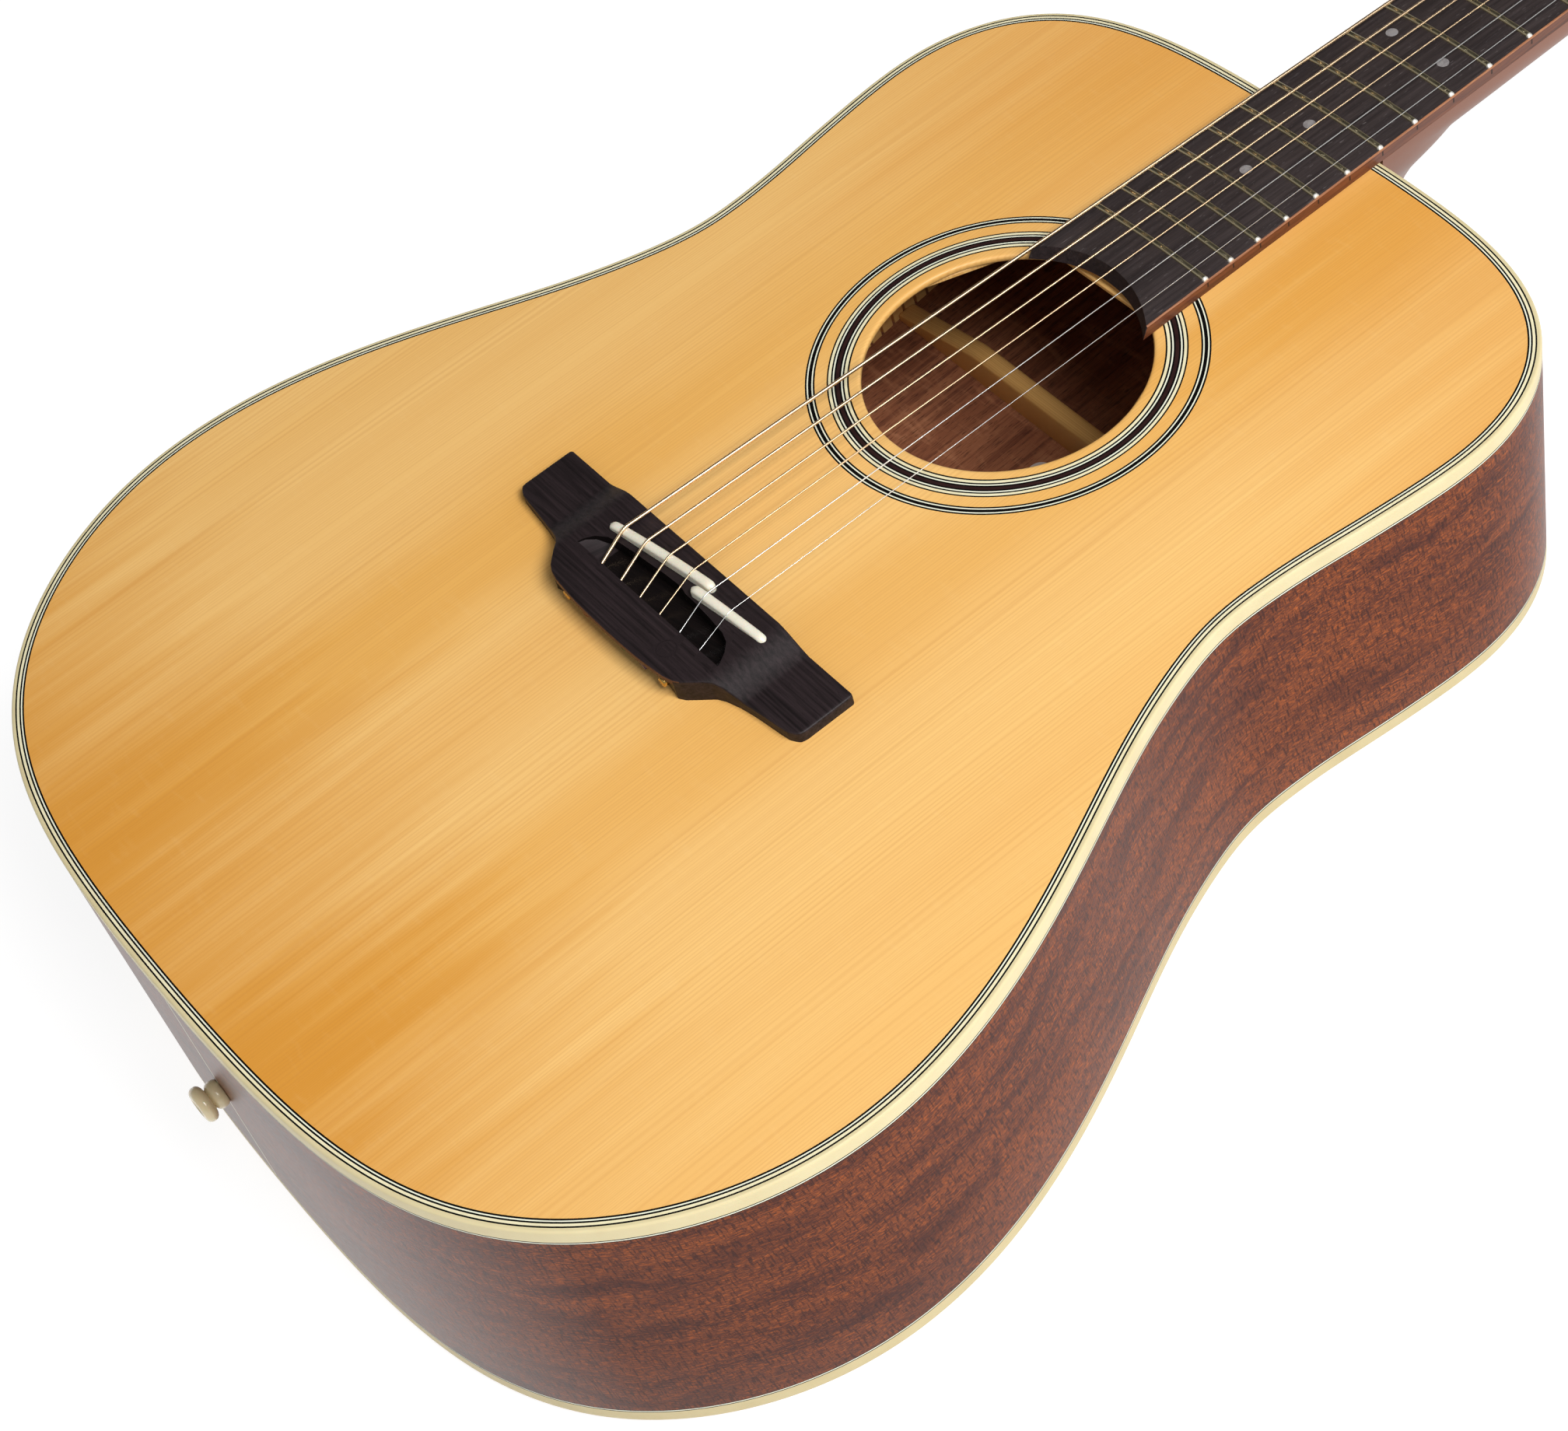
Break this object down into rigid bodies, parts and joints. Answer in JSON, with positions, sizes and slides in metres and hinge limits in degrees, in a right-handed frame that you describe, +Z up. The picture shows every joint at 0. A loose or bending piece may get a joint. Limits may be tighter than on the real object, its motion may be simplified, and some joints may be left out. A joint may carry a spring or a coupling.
{
  "type": "acoustic guitar",
  "caption": "Flat-top steel-string acoustic guitar with a dreadnought body, pinless bridge, split saddle, fretted neck and geared tuners that turn.",
  "frame": {"origin": "centre of the footprint, on the floor plane under the flat of the back", "axes": "guitar lying on its back: +X towards the headstock, +Y towards the bass side, +Z up out of the soundboard"},
  "size_m": [1.0504, 0.399, 0.1383],
  "materials": {
    "top_spruce": "satin lacquered straight-grained spruce",
    "body_mahogany": "satin reddish-brown mahogany with open pores",
    "inner_spruce": "bare planed spruce",
    "cream_binding": "satin cream plastic",
    "purfling": "black and white lines under satin lacquer",
    "rosette": "black, cream and dark brown rings under satin lacquer",
    "bridge_wood": "oiled dark rosewood, matt",
    "fingerboard_wood": "oiled dark rosewood, dry and slightly dusty",
    "neck_mahogany": "satin mahogany",
    "bone": "polished bone white",
    "cream_plastic": "glossy cream plastic",
    "fret_wire": "polished nickel silver",
    "plain_string": "plain drawn steel",
    "wound_string": "wound bronze",
    "chrome_tuner": "polished chrome",
    "inner_steel": "plain steel"
  },
  "bodies": {
    "guitar": {"soundboard": "top_spruce", "rosette_inner": "rosette", "rosette_outer": "rosette", "purfling_top": "purfling", "binding_top": "cream_binding", "binding_back": "cream_binding", "back_plate": "body_mahogany", "side_bass": "body_mahogany", "side_treble": "body_mahogany", "lining_top_bass": "inner_spruce", "lining_back_bass": "inner_spruce", "lining_top_treble": "inner_spruce", "lining_back_treble": "inner_spruce", "neck_block": "inner_spruce", "tail_block": "inner_spruce", "x_brace_a": "inner_spruce", "x_brace_b": "inner_spruce", "transverse_brace": "inner_spruce", "back_brace_1": "inner_spruce", "back_brace_2": "inner_spruce", "back_brace_3": "inner_spruce", "back_brace_4": "inner_spruce", "bridge_plate": "body_mahogany", "bridge": "bridge_wood", "saddle_main": "bone", "saddle_treble": "bone", "strap_button": "cream_plastic", "strap_button_screw": "inner_steel", "string_1": "plain_string", "string_2": "plain_string", "string_3": "wound_string", "string_4": "wound_string", "string_5": "wound_string", "string_6": "wound_string", "neck": "neck_mahogany", "heel_cap": "bridge_wood", "truss_rod": "inner_steel", "fingerboard": "fingerboard_wood", "frets": "fret_wire", "nut": "bone", "headstock_veneer": "bridge_wood", "tuner_housing_1": "chrome_tuner", "tuner_housing_2": "chrome_tuner", "tuner_housing_3": "chrome_tuner", "tuner_housing_4": "chrome_tuner", "tuner_housing_5": "chrome_tuner", "tuner_housing_6": "chrome_tuner"},
    "tuner_key_1": {"tuner_key_1": "chrome_tuner"},
    "tuner_post_1": {"tuner_post_1": "chrome_tuner"},
    "tuner_key_2": {"tuner_key_2": "chrome_tuner"},
    "tuner_post_2": {"tuner_post_2": "chrome_tuner"},
    "tuner_key_3": {"tuner_key_3": "chrome_tuner"},
    "tuner_post_3": {"tuner_post_3": "chrome_tuner"},
    "tuner_key_4": {"tuner_key_4": "chrome_tuner"},
    "tuner_post_4": {"tuner_post_4": "chrome_tuner"},
    "tuner_key_5": {"tuner_key_5": "chrome_tuner"},
    "tuner_post_5": {"tuner_post_5": "chrome_tuner"},
    "tuner_key_6": {"tuner_key_6": "chrome_tuner"},
    "tuner_post_6": {"tuner_post_6": "chrome_tuner"},
    "truss_rod_nut": {"truss_rod_nut": "inner_steel"}
  },
  "joints": [
    {"name": "key_turn_1", "type": "hinge", "parent": "guitar", "child": "tuner_key_1", "pos_m": [0.39878, -0.04, 0.05255], "axis": [0, -1, 0], "continuous": true},
    {"name": "post_turn_1", "type": "hinge", "parent": "guitar", "child": "tuner_post_1", "pos_m": [0.39921, -0.02, 0.07546], "axis": [0.2971, 0, 0.9549], "continuous": true},
    {"name": "key_turn_2", "type": "hinge", "parent": "guitar", "child": "tuner_key_2", "pos_m": [0.4427, -0.0422, 0.03889], "axis": [0, -1, 0], "continuous": true},
    {"name": "post_turn_2", "type": "hinge", "parent": "guitar", "child": "tuner_post_2", "pos_m": [0.44313, -0.0222, 0.06179], "axis": [0.2971, 0, 0.9549], "continuous": true},
    {"name": "key_turn_3", "type": "hinge", "parent": "guitar", "child": "tuner_key_3", "pos_m": [0.48663, -0.0446, 0.02522], "axis": [0, -1, 0], "continuous": true},
    {"name": "post_turn_3", "type": "hinge", "parent": "guitar", "child": "tuner_post_3", "pos_m": [0.48705, -0.0246, 0.04813], "axis": [0.2971, 0, 0.9549], "continuous": true},
    {"name": "key_turn_4", "type": "hinge", "parent": "guitar", "child": "tuner_key_4", "pos_m": [0.48663, 0.0446, 0.02522], "axis": [0, 1, 0], "continuous": true},
    {"name": "post_turn_4", "type": "hinge", "parent": "guitar", "child": "tuner_post_4", "pos_m": [0.48705, 0.0246, 0.04813], "axis": [0.2971, 0, 0.9549], "continuous": true},
    {"name": "key_turn_5", "type": "hinge", "parent": "guitar", "child": "tuner_key_5", "pos_m": [0.4427, 0.0422, 0.03889], "axis": [0, 1, 0], "continuous": true},
    {"name": "post_turn_5", "type": "hinge", "parent": "guitar", "child": "tuner_post_5", "pos_m": [0.44313, 0.0222, 0.06179], "axis": [0.2971, 0, 0.9549], "continuous": true},
    {"name": "key_turn_6", "type": "hinge", "parent": "guitar", "child": "tuner_key_6", "pos_m": [0.39878, 0.04, 0.05255], "axis": [0, 1, 0], "continuous": true},
    {"name": "post_turn_6", "type": "hinge", "parent": "guitar", "child": "tuner_post_6", "pos_m": [0.39921, 0.02, 0.07546], "axis": [0.2971, 0, 0.9549], "continuous": true},
    {"name": "truss_rod_turn", "type": "hinge", "parent": "guitar", "child": "truss_rod_nut", "pos_m": [-0.05904, 0, 0.10407], "axis": [-0.9984, 0, 0.0572], "range_deg": [-180, 180]}
  ],
  "couplings": [
    {"joint": "post_turn_1", "follows": "key_turn_1", "ratio": 0.071429},
    {"joint": "post_turn_2", "follows": "key_turn_2", "ratio": 0.071429},
    {"joint": "post_turn_3", "follows": "key_turn_3", "ratio": 0.071429},
    {"joint": "post_turn_4", "follows": "key_turn_4", "ratio": 0.071429},
    {"joint": "post_turn_5", "follows": "key_turn_5", "ratio": 0.071429},
    {"joint": "post_turn_6", "follows": "key_turn_6", "ratio": 0.071429}
  ]
}
